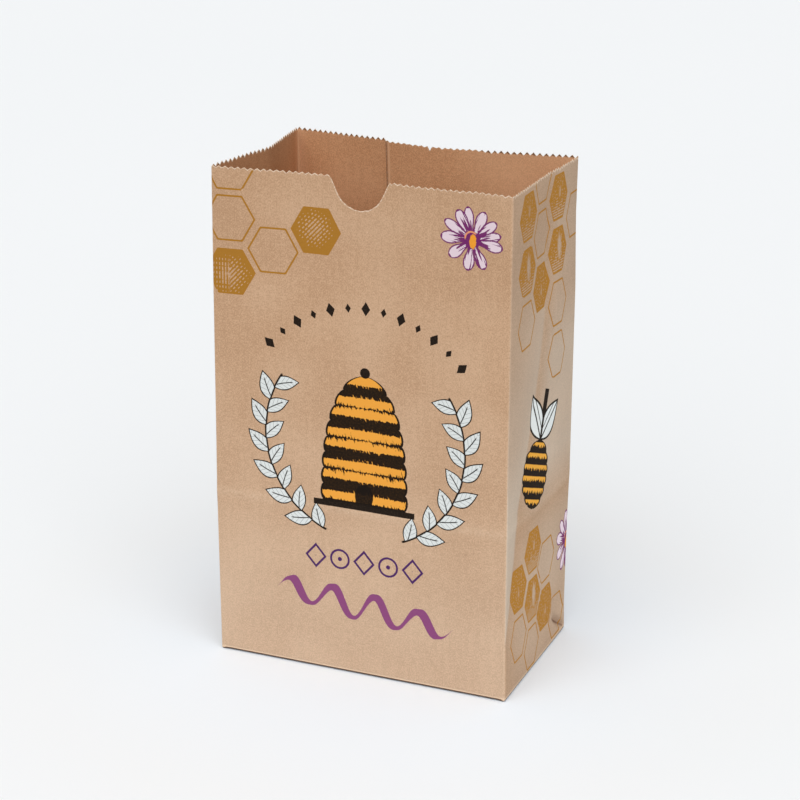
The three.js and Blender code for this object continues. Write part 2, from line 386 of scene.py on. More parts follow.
def fold_drift(name, u, z):
    """Shift of a point of a panel with its two folds, for u from 0 to 1 along it."""
    start, end = (FOLD_DRIFT[fold] for fold in FOLDS_OF[name])
    return [curve(start[axis], z) * (1 - u) + curve(end[axis], z) * u for axis in (0, 1)]


def ridge(u, z):
    """The crest of the old fold, which stands proud of every panel, least at the panel's own folds."""
    crest = max(0.0, 1 - abs(z - CROSS_FOLD) / RIDGE_REACH) ** 1.6
    return RIDGE * crest * (0.3 + 0.7 * math.sin(math.pi * u))


COCKLES = ((55.0, 0.5, 0.0), (17.0, 0.12, 90.0))  # size of the waves, their depth, shift of their pattern


def cockle(x, y, z):
    """Soft unevenness of paper."""
    return sum(depth * noise.noise(Vector((x + shift, y, z)) / size) for size, depth, shift in COCKLES)


# Dents of the right side, as (Y, Z, half width along Y, half height, depth, tilt of the long axis)
RIGHT_DENTS = (
    (34.0, 8.3, 12.5, 3.0, 3.0, -0.62),
    (31.0, 21.0, 15.0, 9.0, 1.4, -0.7),
)


def right_dents(y, z):
    deep = 0.0
    for place_y, place_z, half_y, half_z, depth, tilt in RIGHT_DENTS:
        away_y, away_z = y - place_y, z - place_z - tilt * (y - place_y)
        near = max(0.0, 1 - math.hypot(away_y / half_y, away_z / half_z))
        deep += depth * near**1.3
    return deep


drift = fold_drift("front", 0.0, CROSS_FOLD)
print("front left fold at the cross fold:", [round(c, 2) for c in drift], "mm")

# %% Painted sheen: how much paler the outside is painted for the gloss of light on it, from 0 to 1, by height
FACE_PAINTED_SHEEN = ((0, 0.3), (30, 0.3), (60, 0.22), (100, 0.12), (150, 0.04), (200, 0.0))
LEFT_PAINTED_SHEEN = ((0, 0.2), (30, 0.4), (60, 0.6), (150, 0.6), (200, 0.35), (251, 0.25))
STRIP_AT_FOLD = (
    (0, 0.05), (26, 0.05), (33, 0.9), (72, 0.95), (100, 0.95), (112, 0.75), (125, 0.57), (150, 0.48),
    (170, 0.3), (200, 0.3), (235, 0.19), (251, 0.15),
)
STRIP_AT_CREASE = (
    (0, 0.05), (26, 0.15), (33, 0.85), (115, 0.9), (150, 0.8), (185, 0.6), (220, 0.3), (251, 0.25),
)
BEHIND_CREASE = (
    (0, 0.3), (25, 0.4), (50, 0.52), (70, 0.4), (83, 0.15), (92, 0.45), (108, 0.82), (128, 0.7),
    (160, 0.78), (190, 0.38), (222, 0.42), (251, 0.35),
)


def painted_sheen(name, u, z):
    """How much painted sheen the outside gets. On the right side the crease parts a strip in front from the
    rest.
    """
    if name in ("front", "back"):
        return curve(FACE_PAINTED_SHEEN, z)
    if name == "left":
        return curve(LEFT_PAINTED_SHEEN, z)
    y = (u - 0.5) * DEPTH
    crease = curve(RIGHT_CREASE, z)
    share = clamp((y + DEPTH / 2) / max(crease + DEPTH / 2, 1.0))
    in_front = curve(STRIP_AT_FOLD, z) * (1 - share**1.5) + curve(STRIP_AT_CREASE, z) * share**1.5
    behind = clamp((y - crease) / (DEPTH / 2 - crease) / 0.3)
    past = clamp((y - crease) / 3.0 + 0.5)
    return in_front * (1 - past) + curve(BEHIND_CREASE, z) * (0.3 + 0.7 * behind) * past


# Painted light and shade on the inside of the back, by X
BACK_PAINTED_LIGHT = ((-76, 0.1), (-40, -0.05), (-25, -0.1), (12, 0.0), (30, 0.45), (76, 0.6))


def painted_inner_light(name, u, z):
    """Painted light on the inside: over 0 where it is painted lighter, and under 0 where it is painted
    shade.
    """
    if name == "left":
        return -0.45 - 0.2 * u
    if name == "back":
        return curve(BACK_PAINTED_LIGHT, (0.5 - u) * WIDTH)
    return 0.0


print("bloom half way up the right front fold:", painted_sheen("right", 0.0, HEIGHT / 2))

# %% [markdown]
# ## The glued lap and the base
#
# Where the sheet's ends overlap on the back, the end that comes from the left lies inside and the other
# outside, so each moves half a ply away from the middle and comes back into line beyond the lap. The
# inner end isn't glued right to its edge, and lifts a little. Under the bag, the front flap lies lowest,
# the back flap climbs over it, and the two side flaps lie on both, with ends at 45 degrees, as the folds
# at the corners force them to.

# %% Lap and base
LAP_SETTLE = 8.0  # run in which a ply comes back into line
LAP_HALF = 0.16  # from the middle of the lap to the middle of each ply
LAP_LIFT, LAP_FREE = 0.45, 3.5  # of the inner end, and how far in it isn't glued
FOOT_GAP, FOOT_REACH = 0.65, 13.0  # how far the front's foot stands off the table, and how far in
SIDE_FLAP_REACH = 43.0
CORNER_STRIP = 3.0  # how far the corner folds run into the base
FLAP_SPREAD = 0.88  # under 1 makes a flap's ends a little wider than 45 degrees


def lap_offset(s, z):
    """Shift towards the inside of the bag where the two ends of the sheet overlap."""
    from_inner_end = s - SHEET_START
    from_outer_end = SHEET_END - s
    inner = 1 - clamp((from_inner_end - LAP_WIDTH) / LAP_SETTLE)
    outer = 1 - clamp((from_outer_end - LAP_WIDTH) / LAP_SETTLE)
    free = max(0.0, 1 - from_inner_end / LAP_FREE) ** 2
    lift = LAP_LIFT * free * (1 + 0.5 * noise.noise(Vector((0.0, 31.0, z / 30.0))))
    return LAP_HALF * inner - LAP_HALF * outer + (lift if z > 0 else 0.0)


def flap_level(name, reach, from_corner=9.0):
    """Height of the middle of a flap's paper, reach mm in from its fold."""
    if name in ("left", "right"):
        return FLAP_LEVEL + PLY_STEP * (1 + min(reach / 30.0, 1.0))
    if name == "back":
        climb = (reach - (DEPTH - FLAP_REACH) + 10.0) / 8.0
        return FLAP_LEVEL + PLY_STEP * clamp(climb)
    gap = FOOT_GAP * max(0.0, 1 - reach / FOOT_REACH) ** 1.5
    return FLAP_LEVEL + max(gap * min(from_corner / 3.0, 1.0), 0.0)


def foot_bend(s, w):
    """Angle through which the paper has turned under the bag, and the level it turns to."""
    name, along = panel_at(s)
    level = flap_level(name, 0.0, min(along, PANELS[name][1] - along))
    return min(max((level + BASE_RADIUS - w) / BASE_RADIUS, 0.0), math.pi / 2), level


print("base's lowest and highest ply:", FLAP_LEVEL, "and", flap_level("left", DEPTH / 2), "mm up")

# %% From the flat sheet to the standing bag
def folded(s, w):
    """Where a point of the flat sheet lies on the standing bag, in mm."""
    name, along = panel_at(s)
    start, length, corner, run, inward = PANELS[name]
    straight = length - 2 * FOLD_RADIUS
    u = clamp((along - FOLD_RADIUS) / straight)
    into_fold = max(FOLD_RADIUS - along, along - length + FOLD_RADIUS, 0.0)
    turn = into_fold / FOLD_RADIUS * math.pi / 4
    side = -1 if along < length / 2 else 1
    run_along = FOLD_RADIUS + u * straight + side * FOLD_RADIUS * math.sin(turn)
    into = FOLD_RADIUS * (1 - math.cos(turn))

    # Up the wall, round the bend at its foot, or in over the base
    from_corner = min(along, length - along)
    bend, level = foot_bend(s, w)
    reach = max(level + BASE_RADIUS * (1 - math.pi / 2) - w, 0.0)
    z = max(w, level + BASE_RADIUS) - BASE_RADIUS * math.sin(bend)
    if reach > 0:
        z = flap_level(name, reach, from_corner)
    from_wall = BASE_RADIUS * (1 - math.cos(bend)) + reach

    # A flap narrows towards its end
    if from_wall > 0:
        narrow = min(from_wall, CORNER_STRIP) + FLAP_SPREAD * max(from_wall - CORNER_STRIP, 0.0)
        half = length / 2 - FOLD_RADIUS
        run_along = length / 2 + (run_along - length / 2) * (half - narrow) / half
        into += from_wall

    x = corner[0] * WIDTH / 2 + run[0] * run_along
    y = corner[1] * DEPTH / 2 + run[1] * run_along
    standing = math.cos(bend)
    into += lap_offset(s, w) * standing
    if standing > 0:
        inner_part = math.sin(math.pi * u) ** 0.5 if 0 < u < 1 else 0.0
        into += panel_inward(name, u, z) * standing
        into += (cockle(x, y, z) * inner_part * min(z / 20.0, 1.0) - ridge(u, z)) * standing
        if name == "right":
            into += right_dents(y, z) * standing
    z += lap_offset(s, w) * (1 - standing)
    x += inward[0] * into
    y += inward[1] * into
    drift_x, drift_y = fold_drift(name, u, z)
    return x + drift_x * max(standing, 0.3), y + drift_y * max(standing, 0.3), z


print("front left fold at the rim:", [round(c, 2) for c in folded(0.0, HEIGHT)])

# %% [markdown]
# ## Places of the print
#
# The sheet is printed before it is folded, so the print is placed on the flat sheet too. Each motif has a
# middle and a reach, and every face of the mesh belongs to the nearest motif that reaches it. A second UV
# map then holds, for each face, the distance in millimetres from the middle of its motif. So one small
# drawing, made once in a material, appears wherever its motif stands, and may run over a fold on to the
# next panel.

# %% Reach of each kind of motif
HEX_REACH = 13.4
FLOWER_REACH = 19.5
SPRIG_REACH = 32.0
KINDS = ("plain", "cell", "flower", "emblem", "sprig")


def on_panel(name, along_axis):
    """Place along the sheet of a point on a panel, given by its X or Y."""
    start, length, corner, run, inward = PANELS[name]
    direction = run[0] or run[1]
    return start + length / 2 + direction * along_axis


print("the sides' middle lies at", [on_panel(name, 0.0) for name in ("right", "left")], "mm along the sheet")

# %% Looks of the comb cells
# How full a cell is (under 1 leaves a bare spot), middle and size of its worn part, lean of its strokes
OUTLINE = (0.0, 0.0, 0.0, 0.0, 0.0)
SPECKLED = (1.0, -0.6, 0.6, 3.6, 1.0)
WORN = (0.90, -0.5, -1.5, 4.6, 0.5)
FULL = (0.86, 0.0, -2.5, 3.4, 1.0)
PARTLY = (0.62, 3.4, -1.0, 5.0, 1.0)
# On the sides the strokes lie level and only low in the cell, or there are none
LEVEL = (0.86, 1.2, 2.0, 0.0, 2.0)
LEVEL_PARTLY = (0.72, 2.0, 1.5, 0.0, 2.0)
GRITTY = (0.87, 0.8, -2.0, 0.0, 3.0)

print("bare and inked looks:", [look[0] for look in (OUTLINE, PARTLY, FULL, WORN, SPECKLED)])

# %% Combs
MOTIFS = []  # each is its kind, middle, reach, look, and how much narrower and lower than drawn it is


def add_motif(kind, s, w, reach, look=OUTLINE, narrowed=(1.0, 1.0)):
    MOTIFS.append((kind, s, w, reach, look, narrowed))


def add_comb(first_s, low, across, up, drop, cells, narrow=(1.0,)):
    """Adds a comb. Each of its cells is (column, half rows up, and its look)."""
    for column, half_rows, *look in cells:
        place = (first_s + column * across, low + half_rows * up / 2 - column * drop)
        add_motif("cell", *place, HEX_REACH, look, (narrow[column % len(narrow)], 1.0))


# The comb at the top left runs over the fold on to the left side, and stands on the back in the same way
FRONT_COMB = [
    (0, 5.9, *OUTLINE), (0, 3.98, *OUTLINE), (0, 1.96, *WORN), (1, 3, *OUTLINE), (2, 4, *SPECKLED),
    (-1, 5, *FULL), (-1, 3, *OUTLINE), (-1, 1, *PARTLY), (-2, 6, *OUTLINE), (-2, 4, *FULL),
    (-2, 2, *OUTLINE), (-2, 0, *OUTLINE), (-3, 5, *PARTLY), (-3, 3, *OUTLINE),
]
SIDE_TOP_COMB = [
    (0, 6, *LEVEL), (0, 4, *LEVEL_PARTLY), (0, 2, *OUTLINE), (1, 7, *OUTLINE), (1, 5, *OUTLINE),
    (1, 3, *GRITTY), (2, 6, *LEVEL), (2, 4, *LEVEL_PARTLY), (2, 2, *OUTLINE), (2, 0, *OUTLINE),
    (3, 5, *OUTLINE),
]
BACK_COMB = [
    (0, 6, *OUTLINE), (0, 4, *OUTLINE), (0, 2, *FULL), (-1, 3, *OUTLINE), (-2, 4, *WORN),
]
SIDE_LOW_COMB = [
    (0, 3, *GRITTY), (0, 1, *OUTLINE), (1, 4, *LEVEL), (1, 2, *LEVEL_PARTLY), (1, 0, *OUTLINE),
    (2, 3, *OUTLINE), (2, 1, *GRITTY), (3, 0, *OUTLINE),
]
SIDE_TOP_NARROW = (1.0, 1.06, 1.15, 1.15)  # one for each column
SIDE_LOW_NARROW = (1.14, 1.14, 0.97, 1.0)
add_comb(on_panel("front", -67.0), 174.6, 21.7, 26.0, 1.5, FRONT_COMB)
add_comb(on_panel("right", -24.0), 158.0, 21.6, 26.1, 0.0, SIDE_TOP_COMB, SIDE_TOP_NARROW)
add_comb(on_panel("right", -27.6), 12.7, 19.6, 25.9, -0.35, SIDE_LOW_COMB, SIDE_LOW_NARROW)
add_comb(on_panel("back", -67.0), 174.6, 21.7, 26.0, 0.0, BACK_COMB)
add_comb(on_panel("left", -27.6), 12.7, -19.6, 25.9, -0.35, SIDE_LOW_COMB, SIDE_LOW_NARROW)
print(len(MOTIFS), "comb cells")

# %% The other motifs, as (X or Y on their panel, height)
EMBLEM_CENTRE = (2.8, 122.7)
FRONT_FLOWER = (56.6, 228.5)
BACK_FLOWER = (44.0, 226.0)
SIDE_FLOWER = (45.6, 50.2)
SIDE_DRAWING = (-1.2, 118.0)
FLOWER_NARROW = (0.86, 0.9)
for name in ("front", "back"):
    add_motif("emblem", on_panel(name, EMBLEM_CENTRE[0]), EMBLEM_CENTRE[1], 0.0)
for name, (x, w), turned, narrowed in (
    ("front", FRONT_FLOWER, 0.0, (1.0, 1.0)), ("right", SIDE_FLOWER, 0.35, FLOWER_NARROW),
    ("left", SIDE_FLOWER, 3.0, FLOWER_NARROW), ("back", BACK_FLOWER, 1.0, (1.0, 1.0)),
):
    # The second number of a flower's look is its turn, in radians
    add_motif("flower", on_panel(name, x), w, FLOWER_REACH, (0.0, turned, 0.0, 0.0, 0.0), narrowed)
for name, flip in (("right", 1), ("left", -1)):
    add_motif("sprig", on_panel(name, flip * SIDE_DRAWING[0]), SIDE_DRAWING[1], SPRIG_REACH)
print(len(MOTIFS), "motifs")

# %% Which motif each face belongs to
EMBLEM_REACH = (69.0, 110.0, 78.0)  # to each side, down and up


def motif_distance(motif, s, w):
    """How near a motif is, as a share of its reach: over 1 is out of its reach."""
    kind, centre_s, centre_w, reach, look, narrow = motif
    across = (s - centre_s + PERIMETER / 2) % PERIMETER - PERIMETER / 2
    up = w - centre_w
    if kind == "emblem":
        side, down, above = EMBLEM_REACH
        inside = abs(across) < side and -down < up < above
        # It leaves the corners to the other motifs
        return 0.99 if inside and up + 0.8 * abs(across) < 100 else 2.0, across, up
    return math.hypot(across, up) / reach, across, up


def nearest_motif(s, w):
    best = (1.0, None)
    for motif in MOTIFS:
        share, across, up = motif_distance(motif, s, w)
        if share < best[0]:
            best = (share, (motif, across, up))
    return best[1]


print("on the front's middle stands the", nearest_motif(WIDTH / 2, HEIGHT / 2)[0][0])

# %% [markdown]
# ## Making the sheet
#
# The sheet is a grid primitive, moved onto its lines. Its first UV map, Sheet, is its own place on the
# flat paper in millimetres, for the fibres, and its second, Motif, is the place in a motif. Attributes hold
# the rest of what the materials read: for each face its kind of print, and for each point how far it lies
# below the cut edge, and how much painted sheen, painted light and painted shade the paper gets there.

# %% Helpers for edit mode
def deselect_everything():
    bpy.ops.object.select_all(action="DESELECT")


def select_faces(obj, wanted):
    """Selects the faces whose middle and index pass a test, and nothing else."""
    mesh = obj.data
    mesh.vertices.foreach_set("select", [False] * len(mesh.vertices))
    mesh.edges.foreach_set("select", [False] * len(mesh.edges))
    mesh.polygons.foreach_set("select", [bool(wanted(face)) for face in mesh.polygons])


def delete_faces(obj, wanted):
    select_faces(obj, wanted)
    bpy.ops.object.mode_set(mode="EDIT")
    bpy.ops.mesh.select_mode(type="FACE")
    bpy.ops.mesh.delete(type="FACE")
    bpy.ops.object.mode_set(mode="OBJECT")

# %% The flat sheet
deselect_everything()
bpy.ops.mesh.primitive_grid_add(
    x_subdivisions=len(COLUMNS) - 1, y_subdivisions=len(ROWS) - 1, size=1.0, calc_uvs=False
)
bag = bpy.context.active_object
bag.name = "kraft_bag"
bag.data.name = "kraft_bag"
places = np.array([v.co[:2] for v in bag.data.vertices]) + 0.5
column_of = np.rint(places[:, 0] * (len(COLUMNS) - 1)).astype(int)
row_of = np.rint(places[:, 1] * (len(ROWS) - 1)).astype(int)
point_s = sheet_s[row_of, column_of]
point_w = sheet_w[row_of, column_of]
print("sheet has", len(bag.data.polygons), "faces")

# %% Its maps
def corner_values(mesh):
    corners = np.empty(len(mesh.loops), int)
    mesh.loops.foreach_get("vertex_index", corners)
    return corners


def keep(name, kind, domain, values):
    """Keeps a value for each point or face on the mesh, where the materials can read it."""
    data = mesh.attributes.new(name, kind, domain).data
    data.foreach_set("color" if kind == "FLOAT_COLOR" else "value", values)


mesh = bag.data
corners = corner_values(mesh)
face_of_corner = np.repeat(np.arange(len(mesh.polygons)), [p.loop_total for p in mesh.polygons])
sheet_map = mesh.uv_layers.new(name="Sheet")
sheet_map.data.foreach_set("uv", np.stack([point_s[corners], point_w[corners]], 1).ravel())

print("Sheet map:", len(corners), "corners")

# %% Each face's motif
kind_of_face = np.zeros(len(mesh.polygons), int)
look_of_face = np.zeros((len(mesh.polygons), 5))
motif_shift = np.zeros((len(mesh.polygons), 2))
narrowed = np.ones((len(mesh.polygons), 2))
for face in mesh.polygons:
    around = list(face.vertices)
    s, w = point_s[around].mean(), point_w[around].mean()
    found = nearest_motif(s, w) if w > -1.0 else None
    if found:
        motif, across, up = found
        kind_of_face[face.index] = KINDS.index(motif[0])
        look_of_face[face.index] = motif[4]
        motif_shift[face.index] = (s - across, w - up)
        narrowed[face.index] = motif[5]
motif_map = mesh.uv_layers.new(name="Motif")
local = np.stack([point_s[corners], point_w[corners]], 1) - motif_shift[face_of_corner]
local *= narrowed[face_of_corner]
motif_map.data.foreach_set("uv", local.ravel())
keep("motif_kind", "INT", "FACE", kind_of_face)
keep("cell_look", "FLOAT_COLOR", "FACE", look_of_face[:, :4].ravel())
keep("stroke_lean", "FLOAT", "FACE", look_of_face[:, 4])
for name, count in zip(KINDS, np.bincount(kind_of_face, minlength=len(KINDS))):
    print(f"{name}: {count} faces")

# %% Distance below the cut edge, height in a tooth, and turn under the foot
slope = np.abs(np.gradient(RIM, COLUMNS))
narrowing = 1 / np.sqrt(1 + slope**2)
below_edge = (RIM[column_of] - point_w) * narrowing[column_of]
keep("below_edge", "FLOAT", "POINT", below_edge)
keep("on_side", "FLOAT", "POINT", [float(panel_at(s)[0] in ("left", "right")) for s in point_s])
keep("in_tooth", "FLOAT", "POINT", np.clip((point_w - ROOTS[column_of]) / TOOTH_DEPTH, 0.0, 1.0))
turned = np.array([foot_bend(s, w)[0] / (math.pi / 2) for s, w in zip(point_s, point_w)])
# The shade under the foot fades out a few millimetres in
keep("turned_under", "FLOAT", "POINT", turned * np.clip((point_w + 5.0) / 4.0, 0.0, 1.0))
for title, amount in (("painted_sheen", painted_sheen), ("painted_inner_light", painted_inner_light)):
    values = []
    for s, w in zip(point_s, point_w):
        name, along = panel_at(s)
        values.append(amount(name, along / PANELS[name][1], w))
    keep(title, "FLOAT", "POINT", values)
print("tallest tooth:", round(float((RIM - ROOTS).max()), 2), "mm")

# %% [markdown]
# ## Folding it up
#
# Now every point takes its place on the standing bag. Below the base the corners have no paper of their
# own, and the side flaps end where they meet, so those faces are deleted in edit mode.

# %% Fold
around_faces = [list(face.vertices) for face in mesh.polygons]
centres = [(point_s[around].mean(), point_w[around].mean()) for around in around_faces]


def not_in_base(face):
    s, w = centres[face.index]
    name, along = panel_at(s)
    length = PANELS[name][1]
    in_corner = along < FOLD_RADIUS or along > length - FOLD_RADIUS
    past_side = name in ("left", "right") and w < -SIDE_FLAP_REACH
    return past_side or (in_corner and w < -CORNER_STRIP)


for vertex, s, w in zip(mesh.vertices, point_s, point_w):
    x, y, z = folded(s, w)
    vertex.co = ((x + CENTRE_SHIFT) * MM, y * MM, z * MM)
delete_faces(bag, not_in_base)
print("folded sheet:", len(bag.data.polygons), "faces")

# %% [markdown]
# ## Thickness
#
# Solidify turns the sheet into paper: it moves the printed face half a ply out, adds the inner face half
# a ply in, and closes every cut edge with a rim. Its material offsets put the inside and the cut edge in
# slots of their own.

# %% Solidify
SLOTS = ("outside", "inside", "cut edge", "cell print", "flower print", "emblem print", "sprig print")
for title in SLOTS:
    bag.data.materials.append(bpy.data.materials.new("kraft " + title))
solidify = bag.modifiers.new("paper", "SOLIDIFY")
solidify.thickness = PAPER * MM
solidify.offset = 0.0
solidify.use_even_offset = True
solidify.use_quality_normals = True
solidify.material_offset = 1
solidify.material_offset_rim = 2
bpy.ops.object.modifier_apply(modifier="paper")
bpy.ops.object.shade_smooth_by_angle(angle=math.radians(35))
print("paper with thickness:", len(bag.data.polygons), "faces")

# %% Slots of the printed faces
mesh = bag.data
slots = np.empty(len(mesh.polygons), int)
mesh.polygons.foreach_get("material_index", slots)
kinds = np.empty(len(mesh.polygons), int)
mesh.attributes["motif_kind"].data.foreach_get("value", kinds)
printed = (slots == 0) & (kinds > 0)
slots[printed] = kinds[printed] + 2
mesh.polygons.foreach_set("material_index", slots)
mesh.update()
print("faces in each slot:", np.bincount(slots).tolist())

# %% [markdown]
# ## Shader maths in plain Python
#
# A print drawn with nodes is mostly arithmetic: distances to edges, and masks made from them. So a small
# class wraps one socket of a node tree and lets it be added, multiplied and compared, and each sum adds
# its Math node.

# %% A value in a node tree
def operator(operation, swapped=False):
    """The method for one operator: it adds a Math node for the two values."""
    def method(value, other):
        return value.recipe.maths(operation, *((other, value) if swapped else (value, other)))
    return method


class Value:
    """A socket that can be used in a sum."""

    def __init__(self, recipe, socket):
        self.recipe = recipe
        self.socket = socket

    __add__, __radd__ = operator("ADD"), operator("ADD", True)
    __sub__, __rsub__ = operator("SUBTRACT"), operator("SUBTRACT", True)
    __mul__, __rmul__ = operator("MULTIPLY"), operator("MULTIPLY", True)
    __truediv__, __pow__, __mod__ = operator("DIVIDE"), operator("POWER"), operator("FLOORED_MODULO")

    def __abs__(self):
        return self.recipe.maths("ABSOLUTE", self)

    def __neg__(self):
        return self * -1.0

# %% A recipe adds nodes to one material
class Recipe:
    """The node tree of one material."""

    def __init__(self, material):
        self.title = material.name
        material.use_nodes = True
        self.tree = material.node_tree
        self.tree.nodes.clear()

    def add(self, kind, settings=None, inputs=None, output=0):
        node = self.tree.nodes.new(kind)
        for name, value in (settings or {}).items():
            setattr(node, name, value)
        for key, value in (inputs or {}).items():
            if isinstance(value, Value):
                self.tree.links.new(value.socket, node.inputs[key])
            else:
                node.inputs[key].default_value = value
        return Value(self, node.outputs[output]) if node.outputs else node

    def maths(self, operation, *values):
        return self.add("ShaderNodeMath", {"operation": operation}, dict(enumerate(values)))

    def map(self, name):
        return self.add("ShaderNodeUVMap", {"uv_map": name})

    def attribute(self, name, output="Fac"):
        return self.add("ShaderNodeAttribute", {"attribute_name": name}, output=output)

# %% Sums of values that have no operator
def maths(operation):
    """A function that adds one Math node for its values."""
    return lambda value, *others: value.recipe.maths(operation, value, *others)


lesser, greater, smooth_greater = maths("MINIMUM"), maths("MAXIMUM"), maths("SMOOTH_MAX")
root, sine, cosine, bearing = maths("SQRT"), maths("SINE"), maths("COSINE"), maths("ARCTAN2")
whole, fraction, to_and_fro = maths("FLOOR"), maths("FRACT"), maths("PINGPONG")


def length_of(x, y):
    return root(x * x + y * y)


def held(value):
    """The value, held between 0 and 1."""
    return lesser(greater(value, 0.0), 1.0)


def step(value, low, high):
    """0 below low, 1 above high, and a smooth rise between; low above high gives a fall."""
    ends = {"Value": value, "From Min": low, "From Max": high}
    return value.recipe.add("ShaderNodeMapRange", {"interpolation_type": "SMOOTHSTEP"}, ends)


def mix(share, a, b):
    """Colour a, and b where share is 1."""
    return share.recipe.add("ShaderNodeMix", {"data_type": "RGBA"}, {0: share, 6: a, 7: b}, output=2)


def apart(vector):
    split = vector.recipe.add("ShaderNodeSeparateXYZ", inputs={0: vector})
    return [Value(vector.recipe, part) for part in split.socket.node.outputs]


def join(x, y, z=0.0):
    return x.recipe.add("ShaderNodeCombineXYZ", inputs={0: x, 1: y, 2: z})


def clouds(vector, size, detail=2.0, roughness=0.5):
    """Cloudy noise from 0 to 1, with clouds of about this many millimetres."""
    inputs = {"Vector": vector, "Scale": 1.0 / size, "Detail": detail, "Roughness": roughness}
    return vector.recipe.add("ShaderNodeTexNoise", inputs=inputs)


def random(value):
    """A random number for each whole number."""
    return value.recipe.add("ShaderNodeTexWhiteNoise", {"noise_dimensions": "1D"}, {"W": value})


def screen(red, green, blue):
    """A colour read off a screen, from 0 to 255, as Blender's linear colour."""
    linear = []
    for level in (red / 255, green / 255, blue / 255):
        linear.append(level / 12.92 if level <= 0.04045 else ((level + 0.055) / 1.055) ** 2.4)
    return (*linear, 1.0)


print("mid grey:", round(screen(128, 128, 128)[0], 3))

# %% [markdown]
# ## Kraft paper
#
# Unbleached paper is an even brown from a step away, and near by a felt of fibres: cloudy at two or three
# millimetres, speckled at half a millimetre, with a few dark flecks of bark and pale single fibres.
# Creases are rubbed paler, and so is any cut edge, where fibres stick out. The clouds read the Sheet map,
# so that they follow the paper over its folds.

# %% Kraft colours
KRAFT = screen(207, 169, 136)
KRAFT_DARK = screen(183, 145, 112)
KRAFT_RUBBED = screen(222, 192, 162)
# Pale of rubbed folds, and of the painted highlight along the foot's fold
RUBBED_AND_LIT_PALE = screen(234, 204, 174)
# Painted sheen: the pale that stands in for the paper's gloss
PAINTED_SHEEN_COLOUR = screen(248, 249, 237)
# The inside is painted redder than the outside, partly painted light that stands in for the brown light
# coming through the paper
INSIDE = screen(222, 170, 127)
INSIDE_DARK = screen(193, 141, 101)
# Pale inside: random patches, and painted light at the folds, at the lap's edge and where the inside is
# painted lighter
INSIDE_RUBBED_AND_LIT = screen(230, 186, 148)
# Painted shade on the inside
INSIDE_PAINTED_SHADE = screen(150, 98, 58)
# Painted shade at the lap's edge and on the teeth
PAINTED_SHADE_BROWN = screen(84, 50, 28)
SHADED = screen(92, 62, 44)
# Painted shade in the sharp dent
DENT_PAINTED_SHADE = screen(104, 62, 46)
FIBRE_PALE = screen(234, 208, 176)
FLECK_DARK = screen(140, 100, 66)
CUT_PALE = screen(240, 218, 194)
CUT_TUFT = screen(196, 158, 124)
OCHRE = screen(169, 117, 41)
AMBER = screen(238, 164, 64)
BLACK = screen(26, 18, 12)
CLOUD = screen(222, 226, 224)
PURPLE = screen(74, 38, 96)
PLUM = screen(138, 72, 120)
PETAL = screen(230, 210, 218)
PETAL_EDGE = screen(114, 42, 102)
ORANGE = screen(240, 158, 50)
PEACH = screen(228, 150, 110)
print("kraft in linear colour:", [round(part, 3) for part in KRAFT[:3]])

# %% Fibres of the bare paper
def kraft(recipe, base, dark, rubbed_tone):
    """Colour and height of the bare paper, with the size of each kind of cloud in millimetres."""
    sheet = recipe.map("Sheet")
    s, w, _ = apart(sheet)
    grain = clouds(join(s, w * 0.75), 0.62, detail=2.0, roughness=0.7)
    puffs = clouds(sheet, 3.0, detail=2.0, roughness=0.6)
    broad = clouds(sheet, 40.0, detail=1.0)
    speck = clouds(join(s, w * 0.7, 5.0), 0.8, detail=1.0)
    streak = clouds(join(s * 0.5, w * 0.05, 9.0), 1.0, detail=2.0)
    tone = grain * 0.75 + puffs * 0.18 + streak * 0.1 + broad * 0.12
    colour = mix(step(tone, 0.46, 0.70), dark, base)
    colour = mix(step(broad, 0.35, 0.75) * 0.15, colour, rubbed_tone)
    colour = mix(step(speck, 0.70, 0.80) * 0.35, colour, FIBRE_PALE)
    colour = mix(step(speck, 0.27, 0.20) * 0.5, colour, FLECK_DARK)
    return colour, grain * 0.7 + puffs * 0.3, s, w

# %% Rubbed creases, painted sheen and painted shade
def to_nearest_fold(s):
    """Distance in mm along the sheet to the nearest upright fold."""
    round_bag = s % PERIMETER
    nearest = round_bag
    for line in (WIDTH, WIDTH + DEPTH, 2 * WIDTH + DEPTH, PERIMETER):
        nearest = lesser(nearest, abs(round_bag - line))
    return nearest


# The sharp dent low on the right side: its upper end, its height there, its fall and its length
DENT_START = on_panel("right", 21.0)
DENT_HEIGHT, DENT_FALL, DENT_LENGTH = 16.4, 0.62, 23.5


